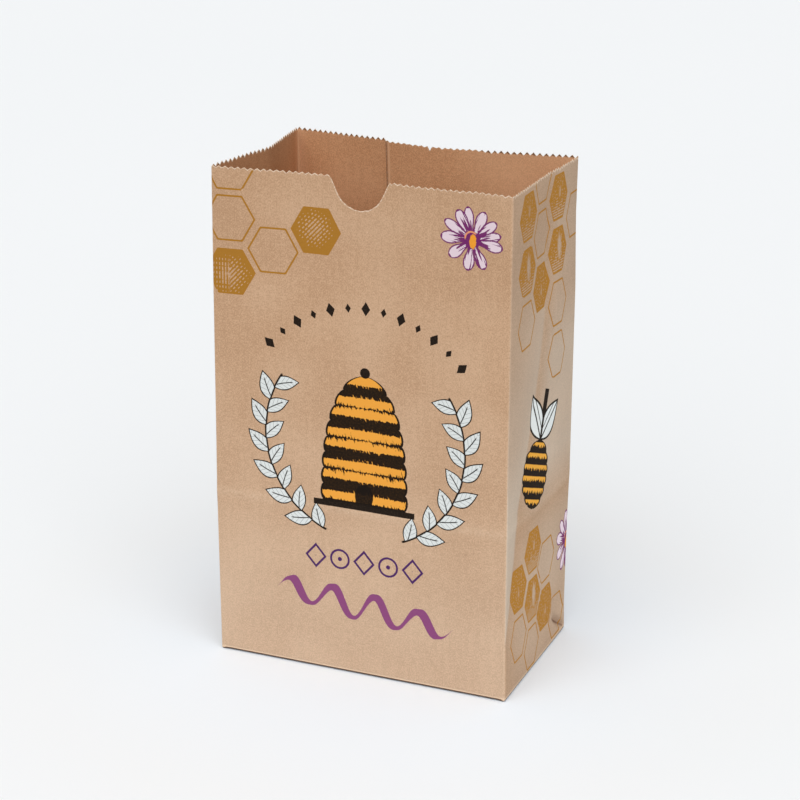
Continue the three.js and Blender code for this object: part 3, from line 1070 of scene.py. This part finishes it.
def wear_sheen_and_shade(colour, s, w):
    """Lightens rubbed folds and the flat bag's fold line; paints sheen, a foot highlight, dent and foot
    shade.
    """
    recipe = colour.recipe
    ragged = clouds(join(s, w), 1.6, detail=2.0)
    cross = step(abs(w - CROSS_FOLD), 4.5, 0.0) * step(ragged, 0.25, 0.75)
    fold = step(to_nearest_fold(s), 1.1, 0.2) * step(ragged, 0.25, 0.65)
    foot = step(w, 2.6, 1.6) * step(ragged, 0.1, 0.45)
    colour = mix(cross * 0.4, colour, KRAFT_RUBBED)
    # Painted sheen: paler where the paper's gloss catches the light, most low on the faces and on the right
    # side
    colour = mix(recipe.attribute("painted_sheen") * 0.37, colour, PAINTED_SHEEN_COLOUR)
    # Rubbed upright folds, and a painted highlight along the foot's fold
    colour = mix(greater(fold * 0.25, foot * 0.8), colour, RUBBED_AND_LIT_PALE)
    # Painted shade: a dark line along the sharp dent and a soft shade round it
    dent = w - DENT_HEIGHT + (s % PERIMETER - DENT_START) * DENT_FALL
    across_dent = step(s % PERIMETER, DENT_START + 1, DENT_START + 9)
    dent_end = DENT_START + DENT_LENGTH
    across_dent = across_dent * step(s % PERIMETER, dent_end, dent_end - 1.5)
    line = step(abs(dent + (ragged - 0.5) * 0.4), 1.5, 0.0) * 0.62
    soft = step(abs(dent - 1.5), 5.0, 0.0) * 0.25
    colour = mix(greater(line, soft) * across_dent, colour, DENT_PAINTED_SHADE)
    # Painted shade where the paper turns under the foot
    return mix(step(recipe.attribute("turned_under"), 0.1, 0.4), colour, SHADED)

# %% Pale cut edges
def pale_edge(colour, reach):
    """Pale fibres along a cut, in tufts."""
    recipe = colour.recipe
    below = recipe.attribute("below_edge") - recipe.attribute("on_side") * 0.4
    sheet = recipe.map("Sheet")
    fuzz = clouds(sheet, 0.45, detail=2.0)
    tufts = step(clouds(sheet, 1.3, detail=1.0), 0.38, 0.58) * 0.75 + 0.25
    return mix(step(below + (fuzz - 0.5) * 0.9, reach, 0.05) * tufts, colour, CUT_PALE)

# %% From colour to shader
def finish(colour, height=None, roughness=0.85, shine=0.12):
    """Joins the colour, and the relief of fibres, to the shader. Paper and its inks are matt."""
    recipe = colour.recipe
    inputs = {"Base Color": colour, "Roughness": roughness, "Specular IOR Level": shine}
    if height:
        relief = {"Strength": 0.4, "Distance": 0.00006, "Height": height}
        inputs["Normal"] = recipe.add("ShaderNodeBump", inputs=relief)
    shader = recipe.add("ShaderNodeBsdfPrincipled", inputs=inputs)
    recipe.add("ShaderNodeOutputMaterial", inputs={"Surface": shader})
    print(f"{recipe.title}: {len(recipe.tree.nodes)} nodes")

# %% The outside of the paper
def plain_outside(title, draw=None):
    """The outside of the paper, with a drawing printed on it."""
    recipe = Recipe(bpy.data.materials["kraft " + title])
    colour, height, s, w = kraft(recipe, KRAFT, KRAFT_DARK, KRAFT_RUBBED)
    colour = wear_sheen_and_shade(colour, s, w)
    if draw:
        colour = draw(recipe, colour)
    colour = pale_edge(colour, 0.7)
    finish(colour, height)


plain_outside("outside")

# %% The inside of the paper
def plain_inside():
    """The inside: redder, with painted light and shade, a painted shadow at the lap and painted shade on the
    teeth.
    """
    recipe = Recipe(bpy.data.materials["kraft inside"])
    colour, height, s, w = kraft(recipe, INSIDE, INSIDE_DARK, INSIDE_RUBBED_AND_LIT)
    # Painted light and shade over the inside: the left side in shade, the back lighter towards its right
    tone = recipe.attribute("painted_inner_light")
    colour = mix(greater(tone, 0.0) * 0.6, colour, INSIDE_RUBBED_AND_LIT)
    colour = mix(greater(-tone, 0.0) * 0.6, colour, INSIDE_PAINTED_SHADE)
    # Painted light along the inside folds, standing in for light that comes through the paper into the
    # corners
    near_fold = step(to_nearest_fold(s), 7.0, 0.0)
    colour = mix(near_fold * 0.45, colour, INSIDE_RUBBED_AND_LIT)
    # Painted shadow along the lap's inner edge, and a painted highlight just beside it
    colour = mix(step(s - SHEET_START, 0.45, 0.25) * 0.6, colour, PAINTED_SHADE_BROWN)
    beside = abs(s - SHEET_START - PERIMETER + 0.9)
    colour = mix(step(beside, 0.9, 0.3) * 0.6, colour, INSIDE_RUBBED_AND_LIT)
    # Painted shade on the inside of the teeth
    colour = mix(step(recipe.attribute("in_tooth"), 0.22, 0.55) * 0.85, colour, PAINTED_SHADE_BROWN)
    colour = pale_edge(colour, 0.34)
    finish(colour, height)


plain_inside()

# %% The cut edge
def cut_edge():
    """The cut edge itself, all pale tufts."""
    recipe = Recipe(bpy.data.materials["kraft cut edge"])
    colour, height, s, w = kraft(recipe, CUT_PALE, KRAFT, CUT_PALE)
    tufts = step(clouds(recipe.map("Sheet"), 1.1, detail=1.0), 0.40, 0.60)
    finish(mix(tufts, CUT_TUFT, colour), height)


cut_edge()

# %% [markdown]
# ## Inks
#
# Ink soaks into kraft paper, so its edges are a little ragged and the fibres show through. Each drawing
# is made of masks from 0 to 1, worked out from the distance in millimetres to its motif's middle, and
# laid on in turn.

# %% Laying on ink
SIDE_BRIGHTER = 1.3


def motif_place(recipe, ragged=0.12):
    """Place in the motif in mm, with the slight wander of soaked ink."""
    place = recipe.map("Motif")
    sheet = recipe.map("Sheet")
    wander = clouds(sheet, 0.7, detail=1.0) - 0.5
    sheet_s, sheet_w, _ = apart(sheet)
    wander_up = clouds(join(sheet_s, sheet_w, 40.0), 0.7, detail=1.0) - 0.5
    x, y, _ = apart(place)
    return x + wander * ragged * 2, y + wander_up * ragged * 2


def lay(paper, mask, ink):
    """Prints ink on the paper where the mask is 1, a little thinner where the paper is rough."""
    grain = clouds(paper.recipe.map("Sheet"), 0.8, detail=2.0)
    cover = step(grain, 0.8, 0.35) * 0.03 + 0.966
    return mix(mask * cover, paper, on_sides(paper, ink))


def on_sides(paper, ink):
    """The ink, a little brighter on the sides, which this light reaches less than a studio's does."""
    brighter = tuple(min(part * SIDE_BRIGHTER, 1.0) for part in ink)
    return mix(paper.recipe.attribute("on_side"), ink, brighter)


def inside_of(distance, soft=0.12):
    """1 where a signed distance is under 0."""
    return step(distance, soft, -soft)


def line_on(distance, half_width, soft=0.12):
    """1 within half_width of where a distance is 0."""
    return step(abs(distance), half_width + soft, half_width - soft)

# %% [markdown]
# ## Comb cells
#
# A honeycomb is a common pattern: six-sided cells with a gap between them. Some are drawn in outline, and
# some are filled in the way of an engraving, where the ink breaks into crossed strokes and specks round a
# bare spot. One drawing does them all: the attribute cell_look says whether a cell is filled, and where
# its bare spot is.

# %% Comb cells
CELL_APOTHEM = 11.25
CELL_LINE = 0.9
STROKE_PITCH, STROKE_LENGTH = 1.55, 2.3


def draw_cells(recipe, paper):
    x, y = motif_place(recipe)
    flat, slant = abs(y), abs(x) * math.sin(math.radians(60)) + abs(y) * 0.5
    rounded = smooth_greater(flat, slant, 0.8)
    edge = rounded - CELL_APOTHEM
    look = recipe.attribute("cell_look", "Color")
    filled, spot_x, spot_y = apart(look)
    spot_size = recipe.attribute("cell_look", "Alpha")
    lean = recipe.attribute("stroke_lean")
    outline = line_on(edge + CELL_LINE / 2, CELL_LINE / 2)

    # Strokes lean to the right, or stand straight on the left of the worn part, and end in dots round it
    off_x, off_y = x - spot_x, y - spot_y
    away = length_of(off_x, off_y)
    leaning = greater(step(lean, 0.7, 0.8), step(off_x, -0.5, 0.5))
    cross = x * (1 - leaning) + (x * 0.72 - y * 0.69) * leaning
    along = y * (1 - leaning) + (x * 0.69 + y * 0.72) * leaning
    level = step(lean, 1.4, 1.6)
    cross = cross * (1 - level) + y * 1.2 * level
    along = along * (1 - level) + x * 0.35 * level
    row = whole(cross / STROKE_PITCH)
    shifted = along + random(row + 5.0) * STROKE_LENGTH * leaning
    between = to_and_fro(cross, STROKE_PITCH / 2) / (STROKE_PITCH / 2)
    end = to_and_fro(shifted, STROKE_LENGTH / 2) / (STROKE_LENGTH / 2)
    blot = clouds(join(x, y), 2.2, detail=1.0)
    worn = step(away + (blot - 0.5) * 7.0, spot_size + 6.5, spot_size - 3.5)
    worn_low = step(y + (blot - 0.5) * 9.0, -0.5, -8.0) * step(lean, 2.6, 2.4)
    worn = worn * (1 - level) + worn_low * level
    luck = clouds(join(x, y, 7.0), 2.5) - 0.5
    thin = between - (0.76 - worn * (0.28 - level * 0.08)) + luck * 0.3
    short = end - (0.74 - worn * 0.74) + luck * 0.5
    gap = step(thin, -0.14, 0.14) * step(short, -0.16, 0.16) * step(worn, 0.02, 0.06)
    bare_size = (1 - filled) * 12.0
    tall = root(off_x * off_x + off_y * off_y * (1 - level * 0.8))
    bare = step(tall + (blot - 0.5) * 2.5, bare_size + 0.3, bare_size - 0.5 - level * 1.5)
    grit = clouds(join(x * 0.7, y, 3.0), 1.0, detail=1.0)
    gap = greater(gap, step(grit, 0.54, 0.64) * level * 0.5)
    missing = greater(gap, bare * step(filled, 0.99, 0.97))
    fill = inside_of(edge) * step(filled, 0.1, 0.2) * (1 - missing)
    return lay(paper, greater(outline, fill), OCHRE)


plain_outside("cell print", draw_cells)

# %% [markdown]
# ## Daisies
#
# A simple flower is a ring of petals round a heart. A petal lies along its own axis: its half width at
# each place along the axis is a sine that leans to the tip, so that it is slim at the heart and blunt at
# the end. Each is laid over the one before, outline first, then the pale inside, which leaves a few dark
# streaks.

# %% Daisies
PETAL_FROM, PETAL_LINE = 2.6, 0.62
PETALS = (  # direction in degrees, length, half width
    (217, 14.2, 3.0), (262, 14.6, 2.9), (296, 14.6, 2.8), (13, 14.6, 2.5), (350, 15.4, 2.9),
    (38, 15.2, 2.6), (66, 15.2, 2.8), (99, 15.8, 2.5), (119, 15.6, 2.9), (149, 16.2, 2.6), (178, 15.8, 3.1),
)


def draw_petal(colour, x, y, seed, petal):
    """Lays one petal on the colour: its outline and streaks, then its pale inside."""
    direction, length, half_width = petal
    way_x, way_y = math.cos(math.radians(direction)), math.sin(math.radians(direction))
    along = x * way_x + y * way_y
    across = y * way_x - x * way_y
    share = held((along - PETAL_FROM) / (length - PETAL_FROM))
    half = sine(share**1.6 * math.pi) ** 0.55 * half_width
    half = half + step(share, 0.35, 0.0) * 0.9
    edge = greater(abs(across) - half, along - length)
    mask = inside_of(edge) * step(along, PETAL_FROM - 0.5, PETAL_FROM)
    fill = inside_of(greater(edge + PETAL_LINE, along - length + PETAL_LINE * 1.5))
    streak = clouds(join(across * 1.35, along * 0.1, seed * 7.3), 1.0, detail=1.0)
    inked = streak + step(along, 12.0, 4.0) * 0.15 + step(share, 0.9, 1.0) * 0.05
    inked = step(inked, 0.60, 0.65)
    colour = mix(mask * 0.97, colour, on_sides(colour, PETAL_EDGE))
    return mix(mask * fill * (1 - inked) * 0.97, colour, on_sides(colour, PETAL))


def draw_flower(recipe, paper):
    plain_x, plain_y = motif_place(recipe, 0.2)
    _, turned, _ = apart(recipe.attribute("cell_look", "Color"))
    cos_turn, sin_turn = cosine(turned), sine(turned)
    x, y = plain_x * cos_turn - plain_y * sin_turn, plain_x * sin_turn + plain_y * cos_turn
    colour = paper
    for seed, petal in enumerate(PETALS):
        colour = draw_petal(colour, x, y, seed, petal)
    ragged = clouds(join(x, y), 1.3, detail=2.0)
    radius = length_of(x, y)
    colour = lay(colour, step(radius + (ragged - 0.5) * 7.0, 5.0, 4.2), PETAL_EDGE)
    bud = root((x - 0.4) * (x - 0.4) * 1.9 + (y + 0.6) * (y + 0.6) * 0.5)
    colour = lay(colour, step(bud + (ragged - 0.5) * 1.6, 2.5, 2.2), ORANGE)
    arc = length_of(x + 0.4, y - 0.9)
    rim = line_on(arc - 3.0, 0.4) * step(y - x * 0.5, 1.6, 2.6)
    return lay(colour, rim, PEACH)


plain_outside("flower print", draw_flower)

# %% [markdown]
# ## The emblem on the front
#
# In the middle stands a straw hive in the old engraved manner: a dome of thick straw coils, drawn in
# amber and black. A wreath of pale leaves runs round it, an arc of small diamonds stands over it, and
# under it lie a row of open diamonds and rings, and a brushed wave. All of it is common ornament, drawn
# from circles, bands and repeats.

# %% Hive
HIVE_FOOT, HIVE_TOP, HIVE_HALF = -32.0, 33.0, 22.5
COILS = 8
DOOR_HALF, KNOB_RADIUS = 4.8, 2.6
BOARD_HALF, BOARD_HALF_HIGH = 26.5, 1.5


def draw_hive(paper, x, y):
    rise = (y - HIVE_FOOT) / (HIVE_TOP - HIVE_FOOT)
    risen = held(rise)
    coil = rise * COILS
    in_coil = fraction(coil)
    swell = root(sine(in_coil * math.pi))
    dome = root(1 - risen**2.6)
    half = dome * HIVE_HALF + swell * 1.5 - 1.5
    middle = (HIVE_FOOT + HIVE_TOP) / 2
    edge = greater(abs(x) - half, abs(y - middle) - (HIVE_TOP - HIVE_FOOT) / 2)
    body = inside_of(edge)

    # Slanting straw strokes round each coil, and every other coil darker
    strokes = clouds(join(x * 1.3 + in_coil * 3.0, coil * 0.9 + y * 0.12), 1.0, detail=2.0, roughness=0.6)
    shade = (1 - swell) * 0.85 + abs(x) / HIVE_HALF * 0.3
    pair = fraction(coil / 2 + 0.25)
    banded = step(pair, 0.50, 0.58) * step(pair, 1.0, 0.92)
    dark = step(shade + (strokes - 0.5) * 1.7 + banded * 0.6, 0.52, 0.60)
    colour = lay(paper, body, AMBER)
    colour = lay(colour, body * dark, BLACK)
    colour = lay(colour, line_on(edge, 0.55), BLACK)
    door = root(x * x + (y - HIVE_FOOT - 4.0) * (y - HIVE_FOOT - 4.0) * 0.6) - DOOR_HALF
    door = greater(door, HIVE_FOOT - y)
    colour = lay(colour, inside_of(door), BLACK)
    board = greater(abs(x) - BOARD_HALF, abs(y - HIVE_FOOT + 1.8) - BOARD_HALF_HIGH)
    colour = lay(colour, inside_of(board), BLACK)
    knob = length_of(x, y - HIVE_TOP - 1.5) - KNOB_RADIUS
    return lay(colour, inside_of(knob), BLACK)

# %% Wreath of leaves
WREATH_RADIUS = 52.0
LEAF_PITCH = 13.6  # along the stem, from one pair of leaves to the next
LEAF_LENGTH, LEAF_HALF = 15.5, 3.9
WREATH_FROM, WREATH_TO = math.radians(22), math.radians(124)  # from straight down


def draw_wreath(paper, x, y):
    across = abs(x)
    radius = length_of(x, y)
    turn = bearing(across, -y)
    out = radius - WREATH_RADIUS
    reach = step(turn, WREATH_TO, WREATH_TO - 0.02) * step(turn, WREATH_FROM, WREATH_FROM + 0.02)
    colour = lay(paper, line_on(out, 0.6) * reach, BLACK)
    for side, shift in ((1, 0.0), (-1, 0.5)):
        cell = turn * (WREATH_RADIUS / LEAF_PITCH) + shift
        number = whole(cell)
        # A leaf leaves the stem at a slant: one axis runs along it and one across
        local = (cell - number) * LEAF_PITCH
        leaf_along = local * 0.70 + out * side * 0.71
        leaf_across = local * -0.71 + out * side * 0.70 + 2.4
        share = held(leaf_along / LEAF_LENGTH)
        half = sine(share**0.85 * math.pi) * LEAF_HALF
        edge = abs(leaf_across) - half
        mask = inside_of(edge) * step(out * side, 0.1, 0.5)
        leaf_root = (number + 0.2 - shift) * (LEAF_PITCH / WREATH_RADIUS)
        mask = mask * step(leaf_root, WREATH_TO - 0.08, WREATH_TO - 0.10)
        mask = mask * step(leaf_root, WREATH_FROM, WREATH_FROM + 0.02)
        colour = lay(colour, mask, BLACK)
        vein = line_on(leaf_across, 0.26) * step(share, 0.8, 0.7)
        ribs = line_on(to_and_fro(leaf_along - abs(leaf_across), 1.3), 0.14, 0.1)
        pale = inside_of(edge + 0.6) * step(share, 0.02, 0.08)
        colour = lay(colour, mask * pale, CLOUD)
        colour = lay(colour, mask * pale * greater(vein, ribs * 0.5), BLACK)
    return colour

# %% Arc of diamonds, row of open shapes and brushed wave
ARC_RADIUS, ARC_CENTRE = 67.0, -1.0
DIAMONDS = 8.0  # degrees from one to the next
ROW_UP, ROW_PITCH, ROW_HALF = -62.5, 12.8, 4.7
WAVE_UP, WAVE_PHASE, WAVE_HEIGHT, WAVE_END = -86.0, 0.275, 7.2, 47.0
ARC_END = 52.5  # degrees from the top


def draw_trimmings(paper, x, y):
    up = y - ARC_CENTRE
    radius = length_of(x, up)
    turn = bearing(x, up) * (180 / math.pi)
    number = whole(turn / DIAMONDS + 0.5)
    local = (turn / DIAMONDS - number) * math.radians(DIAMONDS) * ARC_RADIUS
    small = step(fraction(number * 0.5), 0.2, 0.3)
    diamond = abs(local) * 1.2 + abs(radius - ARC_RADIUS) * 0.8 - (2.8 - small * 1.0)
    arc = inside_of(diamond) * step(abs(turn), ARC_END, ARC_END - 0.5)
    colour = lay(paper, arc, BLACK)

    # Diamonds and rings by turns, five in all
    place = whole(x / ROW_PITCH + 0.5)
    row_x = x - place * ROW_PITCH
    row_y = y - ROW_UP
    ring = length_of(row_x, row_y) - ROW_HALF
    lozenge = (abs(row_x) * 1.15 + abs(row_y) - ROW_HALF * 1.22) * 0.66
    is_ring = step(fraction(place * 0.5), 0.2, 0.3)
    shape = ring * is_ring + lozenge * (1 - is_ring)
    marks = greater(line_on(shape, 0.55), inside_of(shape + 3.6))
    marks = marks * step(abs(x), ROW_PITCH * 2.5, ROW_PITCH * 2.5 - 0.1)
    colour = lay(colour, marks, PURPLE)

    # The wave's line is thick where it falls and thin where it climbs, as a brush makes it
    phase = x * WAVE_PHASE
    height = WAVE_HEIGHT - abs(x) * 0.06
    lift = sine(phase) * height
    steep = cosine(phase) * (WAVE_HEIGHT * WAVE_PHASE)
    thick = cosine(phase + 0.5) * -0.75 + 1.5
    ends = step(abs(x), WAVE_END, 36.0)
    wave = abs(y - WAVE_UP - lift + x * 0.1) * (1 + steep * steep) ** -0.5
    wave = inside_of(wave - thick * ends) * step(abs(x), WAVE_END, WAVE_END - 0.5)
    return lay(colour, wave, PLUM)


def draw_emblem(recipe, paper):
    x, y = motif_place(recipe, 0.14)
    colour = draw_hive(paper, x, y)
    colour = draw_wreath(colour, x, y)
    return draw_trimmings(colour, x, y)


plain_outside("emblem print", draw_emblem)

# %% [markdown]
# ## The small drawing on the sides
#
# Each side has a wooden dipping stick, as drawn on many a jar: a ribbed head in amber and black on a
# black handle, with two pale leaves. It leans, so its place is first turned.

# %% Dipping stick
STICK_LEAN = math.radians(20)
HEAD_LENGTH, HEAD_HALF = 34.0, 14.5
HANDLE_LENGTH, HANDLE_HALF = 27.0, 2.3
LEAF_REACH, LEAF_WIDE = 27.0, 7.5


def draw_sprig(recipe, paper):
    x, y = motif_place(recipe, 0.14)
    across = x * math.cos(STICK_LEAN) - y * math.sin(STICK_LEAN)
    up = x * math.sin(STICK_LEAN) + y * math.cos(STICK_LEAN)
    handle = greater(abs(across) - HANDLE_HALF, abs(up - HANDLE_LENGTH / 2) - HANDLE_LENGTH / 2)
    colour = lay(paper, inside_of(handle), BLACK)
    for side in (1, -1):
        leaf_x = across * side * 0.62 + (up - 2.0) * 0.78
        leaf_y = across * side * -0.78 + (up - 2.0) * 0.62
        part = held(leaf_x / LEAF_REACH)
        edge = abs(leaf_y) - sine(part**0.85 * math.pi) * LEAF_WIDE
        mask = inside_of(edge) * step(across * side, 0.9, 1.3)
        colour = lay(colour, mask, BLACK)
        vein = greater(line_on(leaf_y, 0.5), line_on(leaf_y - 3.0, 0.3))
        colour = lay(colour, mask * inside_of(edge + 1.3) * (1 - vein), CLOUD)
    share = held((up + HEAD_LENGTH - 2.0) / HEAD_LENGTH)
    rib = fraction(share * 6.0)
    half = root(sine(share * math.pi)) * HEAD_HALF
    half = half + sine(rib * math.pi) * 1.3
    head = greater(abs(across) - half, abs(up + HEAD_LENGTH / 2 - 2.0) - HEAD_LENGTH / 2)
    colour = lay(colour, inside_of(head), BLACK)
    hatch = clouds(join(across * 0.9, up * 0.25), 1.0, detail=1.0) - 0.5
    band = step(rib + hatch * 0.9, 0.40, 0.50) * step(rib, 0.86, 0.78) * inside_of(head + 1.4)
    return lay(colour, band, AMBER)


plain_outside("sprig print", draw_sprig)

# %% [markdown]
# ## Handing the bag to the frame
#
# The finished bag rides on the frame's one body, and stands for the plain solid.

# %% Bag in the frame
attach(bag, "root")
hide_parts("bag")

# %% [markdown]
# ## Floor and light
#
# A studio shot of a small product is lit from above, through a cloth as large as the table, and the white
# table does the rest: it throws light back on the walls of the bag, most on their lower part, because the
# table ends not far from it. A sun lamp with a very wide disc is such a cloth: its light is soft, and
# even over the whole table.

# %% Table top
TABLE = ((-4.0, -4.0), (4.0, 5.0))  # lowest and highest X and Y, in metres
deselect_everything()
table_middle = [(a + b) / 2 for a, b in zip(*TABLE)]
table_size = [b - a for a, b in zip(*TABLE)]
bpy.ops.mesh.primitive_plane_add(size=1.0, location=(*table_middle, 0.0))
floor = bpy.context.active_object
floor.scale = (*table_size, 1.0)
bpy.ops.object.transform_apply(location=True, rotation=True, scale=True)
floor.name = "floor"
print("table top:", [round(side, 2) for side in table_size], "m")

# %% Its paint
TABLE_WHITE = screen(241, 243, 244)
# Painted light: bluer round the bag
NEAR_BAG_PAINTED_LIGHT = screen(241, 248, 255)
TABLE_END = screen(176, 179, 182)
floor_paint = bpy.data.materials.new("floor")
floor.data.materials.append(floor_paint)
recipe = Recipe(floor_paint)
place = recipe.add("ShaderNodeTexCoord", output="Object")
cloud = clouds(place, 0.9, detail=1.0)
paint = mix(cloud, TABLE_WHITE, screen(243, 244, 245))
table_x, table_y, _ = apart(place)
from_bag = length_of(table_x, table_y)
# Painted light: the table is painted bluer round the bag, which cancels the brown light the bag throws on it
paint = mix(step(from_bag, 0.20, 0.06) * 0.9, paint, NEAR_BAG_PAINTED_LIGHT)
# The table is darker where it runs out behind the camera and to the right
beyond = greater(step(table_y, -0.28, -0.55), step(table_x, 0.28, 0.55))
paint = mix(beyond * 0.8, paint, TABLE_END)
finish(paint, roughness=0.9, shine=0.2)

# %% Room and lights
ROOM_LIGHT = 0.32
CLOTHS = (  # name, where it stands, its strength as a share of the room's
    ("cloth above", (0.0, 0.0, 1.0), 0.285),
    ("cloth in front", (0.18, -0.66, 0.73), 0.60),
)
CLOTH_WIDTH = math.radians(80)
world = bpy.data.worlds.new("room")
bpy.context.scene.world = world
world.use_nodes = True
room = world.node_tree.nodes["Background"]
room.inputs["Color"].default_value = (0.96, 0.98, 1.0, 1.0)
room.inputs["Strength"].default_value = ROOM_LIGHT
for title, place, strength in CLOTHS:
    cloth = bpy.data.lights.new(title, "SUN")
    cloth.energy = strength * math.pi
    cloth.angle = CLOTH_WIDTH
    lamp = bpy.data.objects.new(title, cloth)
    bpy.context.scene.collection.objects.link(lamp)
    lamp.matrix_world = Vector(place).to_track_quat("Z", "Y").to_matrix().to_4x4()
bpy.context.scene.view_settings.view_transform = "Standard"
print("lights on")
